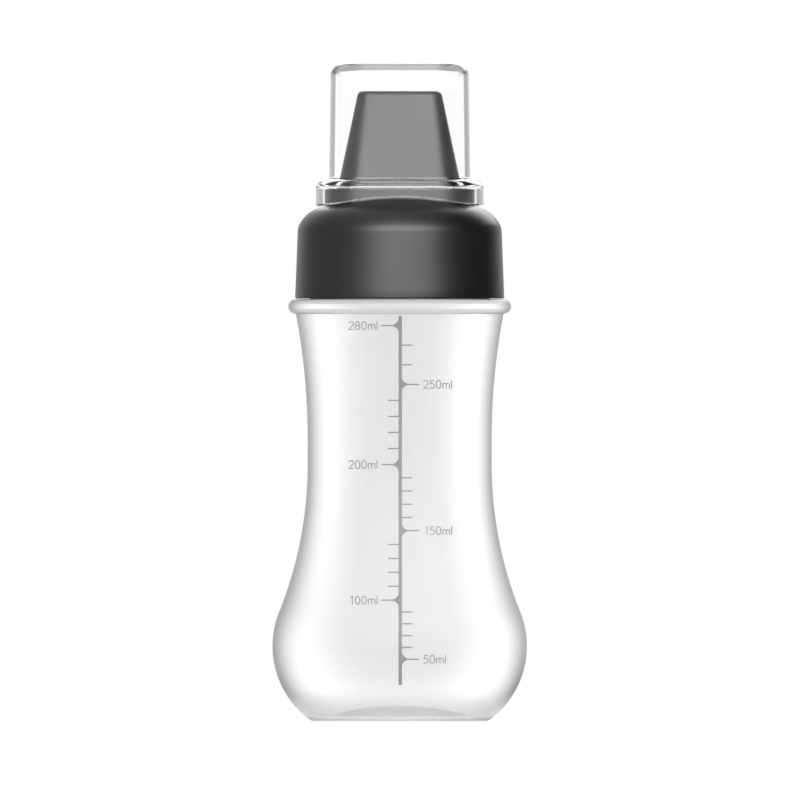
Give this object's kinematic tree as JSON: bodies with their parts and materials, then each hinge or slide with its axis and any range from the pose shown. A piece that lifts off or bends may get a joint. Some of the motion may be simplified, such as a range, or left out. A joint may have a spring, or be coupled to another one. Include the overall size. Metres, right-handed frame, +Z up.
{
  "type": "squeeze bottle",
  "caption": "Soft waisted bottle with a domed screw lid, a wide flat nozzle with a row of outlets and a clear lift-off dust cover.",
  "frame": {"origin": "middle of the foot, on the surface that the bottle stands on", "axes": "+Z up along the bottle, the nozzle is wide along X, and the printed scale faces -Y"},
  "size_m": [0.0718, 0.0718, 0.1856],
  "materials": {
    "milky_body": "soft translucent polyethylene, satin",
    "charcoal_lid": "moulded dark grey plastic, satin",
    "seal": "soft silicone",
    "clear_cover": "clear moulded plastic, polished"
  },
  "bodies": {
    "bottle": {"bottle_body": "milky_body"},
    "seal": {"sealing_ring": "seal"},
    "lid": {"screw_collar": "charcoal_lid", "nozzle_insert": "charcoal_lid"},
    "cover": {"dust_cover": "clear_cover"}
  },
  "joints": [
    {"name": "lid_rise", "type": "slide", "parent": "bottle", "child": "seal", "axis": [0, 0, 1], "range_m": [0, 0.0063]},
    {"name": "lid_unscrew", "type": "hinge", "parent": "seal", "child": "lid", "pos_m": [0, 0, 0.129], "axis": [0, 0, 1], "range_deg": [0, 540]},
    {"name": "cover_lift", "type": "slide", "parent": "lid", "child": "cover", "axis": [0, 0, 1], "range_m": [0, 0.036]}
  ],
  "couplings": [
    {"joint": "lid_rise", "follows": "lid_unscrew", "m_per_rad": 0.00066845}
  ]
}
